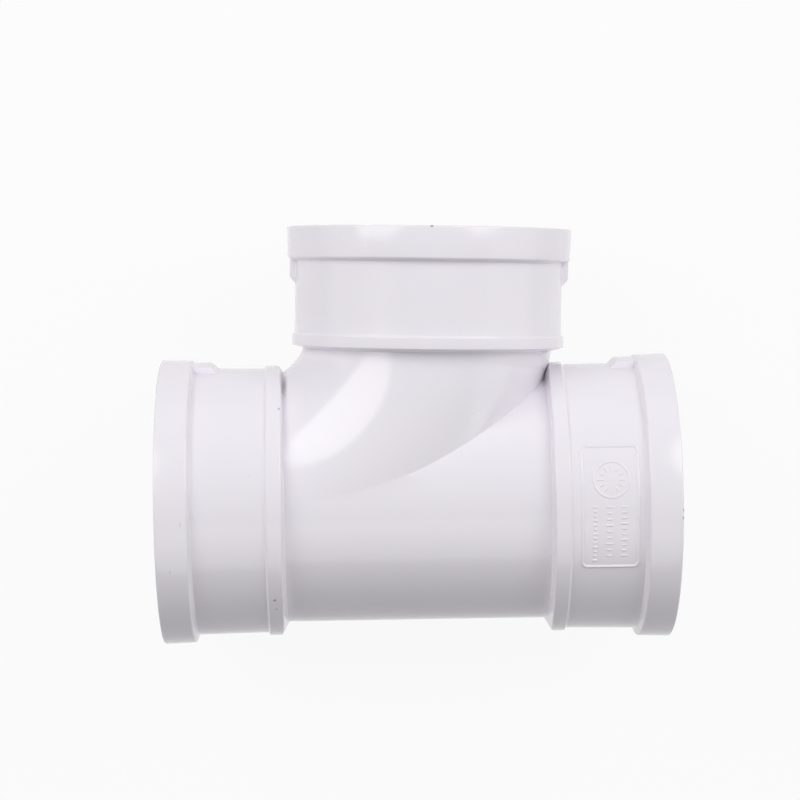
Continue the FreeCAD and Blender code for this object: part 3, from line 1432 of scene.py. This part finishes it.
@dataclass(frozen=True)
class SoftLamp:
    """A round soft lamp that shines at the tee, placed by its bearing as seen from the tee."""

    name: str
    bearing: float
    height: float
    distance: float
    width: float
    power: float

    def build(self, target: Vector) -> None:
        """Makes the lamp.

        Args:
            target: The point that it faces, in metres.
        """
        turn, rise = math.radians(self.bearing), math.radians(self.height)
        flat = math.cos(rise)
        away = Vector((math.sin(turn) * flat, math.cos(turn) * flat, math.sin(rise)))
        light = bpy.data.lights.new(self.name, "AREA")
        light.shape = "DISK"
        light.size = self.width
        light.energy = self.power
        lamp = linked(self.name, light)
        lamp.location = target + away * self.distance
        lamp.rotation_euler = (-away).to_track_quat("-Z", "Y").to_euler()


@dataclass
class Studio:
    """The white floor, the lamps, the sky and the camera."""

    layout: Layout
    lamps: tuple[SoftLamp, ...] = (
        SoftLamp("key_softbox_left", -50.0, 42.0, 1.25, 1.0, 7.9),
        SoftLamp("key_softbox_right", 50.0, 42.0, 1.25, 1.0, 7.7),
        SoftLamp("side_fill_left", -92.0, 14.0, 1.4, 1.5, 3.1),
        SoftLamp("side_fill_right", 92.0, 14.0, 1.4, 1.5, 4.0),
        SoftLamp("back_fill", 0.0, 18.0, 1.4, 1.0, 0.6),
        SoftLamp("front_fill", 180.0, 55.0, 1.4, 1.0, 2.5),
        SoftLamp("low_fill_left", -125.0, 22.0, 1.4, 0.8, 0.7),
        SoftLamp("low_fill_right", 125.0, 22.0, 1.4, 0.8, 0.7),
    )
    ambient: float = 0.06
    floor_width: float = 6.0
    floor_colour: Triple = (0.7, 0.7, 0.7)
    floor_roughness: float = 0.9
    shadow_share: float = 0.08
    camera_place: Triple = (-31.8, 96.4, 1048.2)
    camera_yaw: float = 1.15
    camera_pitch: float = 2.89
    camera_roll: float = 0.77
    camera_sight: float = 20.0
    focal_pixels: float = 2375.2
    photo_pixels: float = 800.0
    sensor_width: float = 36.0

    def build_floor(self) -> None:
        """Makes the floor, which the camera sees as white with a pale shadow of the tee."""
        half = self.floor_width / 2
        corners = [(-half, -half, 0.0), (half, -half, 0.0), (half, half, 0.0), (-half, half, 0.0)]
        mesh = bpy.data.meshes.new("floor")
        mesh.from_pydata(corners, [], [(0, 1, 2, 3)])
        material = bpy.data.materials.new("white_floor")
        material.use_nodes = True
        nodes = Nodes(material.node_tree)
        matte = nodes.fed(material.node_tree.nodes["Principled BSDF"], {
            "Base Color": (*self.floor_colour, 1.0), "Roughness": self.floor_roughness,
            "Specular IOR Level": 0.0,
        })
        white = nodes.add("ShaderNodeEmission", {})
        share = nodes.math("MULTIPLY", nodes.seen_white(), 1.0 - self.shadow_share)
        shaders = {0: share, 1: matte.outputs[0], 2: white.outputs[0]}
        blend = nodes.add("ShaderNodeMixShader", shaders)
        nodes.fed(material.node_tree.nodes["Material Output"], {"Surface": blend.outputs[0]})
        mesh.materials.append(material)
        floor = linked("floor", mesh)
        floor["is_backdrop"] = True

    def build_sky(self) -> None:
        """Makes an even sky that lights the tee softly and looks white to the camera."""
        world = bpy.data.worlds.new("studio")
        world.use_nodes = True
        nodes = Nodes(world.node_tree)
        more = nodes.math("MULTIPLY", nodes.seen_white(), 1.0 - self.ambient)
        strength = nodes.math("ADD", more, self.ambient)
        sky = world.node_tree.nodes["Background"]
        nodes.fed(sky, {"Strength": strength, "Color": WHITE})
        bpy.context.scene.world = world

    def build_camera(self) -> None:
        """Makes the camera at the photograph's place, over the tee and looking down on it."""
        data = bpy.data.cameras.new("camera")
        data.sensor_width = self.sensor_width
        data.lens = self.focal_pixels / self.photo_pixels * self.sensor_width
        data.clip_end = self.camera_sight
        turn = (
            Matrix.Rotation(math.radians(-self.camera_yaw), 4, "Y")
            @ Matrix.Rotation(math.radians(-self.camera_pitch), 4, "X")
            @ Matrix.Rotation(math.radians(-self.camera_roll), 4, "Z")
        )
        camera = linked("camera", data)
        place = Vector(self.camera_place) * MM + self.layout.origin
        camera.matrix_world = Matrix.Translation(place) @ turn
        bpy.context.scene.camera = camera

    def build(self) -> None:
        """Makes the whole studio."""
        bpy.context.scene.view_settings.view_transform = "Standard"
        self.build_sky()
        self.build_floor()
        self.build_camera()
        for lamp in self.lamps:
            lamp.build(self.layout.origin)


def place_on_body(piece: Object) -> None:
    """Makes a piece ride on the tee's body and logs its number of faces.

    Args:
        piece: The piece.
    """
    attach(piece, BODY)
    LOG.info("%s: %d faces", piece.name, len(piece.data.polygons))


def write_sizes(cad_box: tuple[Vector, Vector]) -> None:
    """Gathers the CAD's box and the visual model's box side by side, but writes them nowhere.

    Args:
        cad_box: Lowest and highest corner of the CAD's box.
    """
    boxes = {
        "cad": [list(corner) for corner in cad_box],
        "visual": [list(corner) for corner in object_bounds()],
    }


def main() -> None:
    """Builds the tee, its marks and the studio."""
    logging.basicConfig(level=logging.INFO, format="%(name)s %(message)s")
    low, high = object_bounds()
    layout = Layout.from_frame(frame["record"], low, high)
    LOG.info("arms %s, lean %.2f degrees", layout.arms, math.degrees(layout.lean))
    socket = SocketForm(bore_r=layout.bore_r, collar_r=layout.collar_r)
    branch_socket = replace(
        socket, barrel_mouth_r=58.75, barrel_root_r=58.7, bead_r=59.8, bead_end=51.6,
        flank_foot=53.3, bead_back_round=0.5, flank_round=0.5,
    )
    effects = SharedEffects()
    skin = PvcFinish("white_pvc_skin", parting_line=0.25, spots=DIRT_AND_SHADE_SPOTS)
    core = PvcFinish("white_pvc_core", gloss=0.33, waviness=0.15, scuffing=0.3, streaks=0.25)
    skin_material = skin.build(effects, layout.origin)
    core_material = core.build(effects, layout.origin)
    shop = Workshop(layout.origin)
    tee = TeeShell(layout, socket, branch_socket)
    shell = tee.build(shop, skin_material, core_material)
    place_on_body(shell)
    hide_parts(NODE)
    marks = PanelMarks(layout, socket).build(shop, skin_material)
    place_on_body(marks)
    Studio(layout).build()
    write_sizes((low, high))


if __name__ == "__main__":
    main()
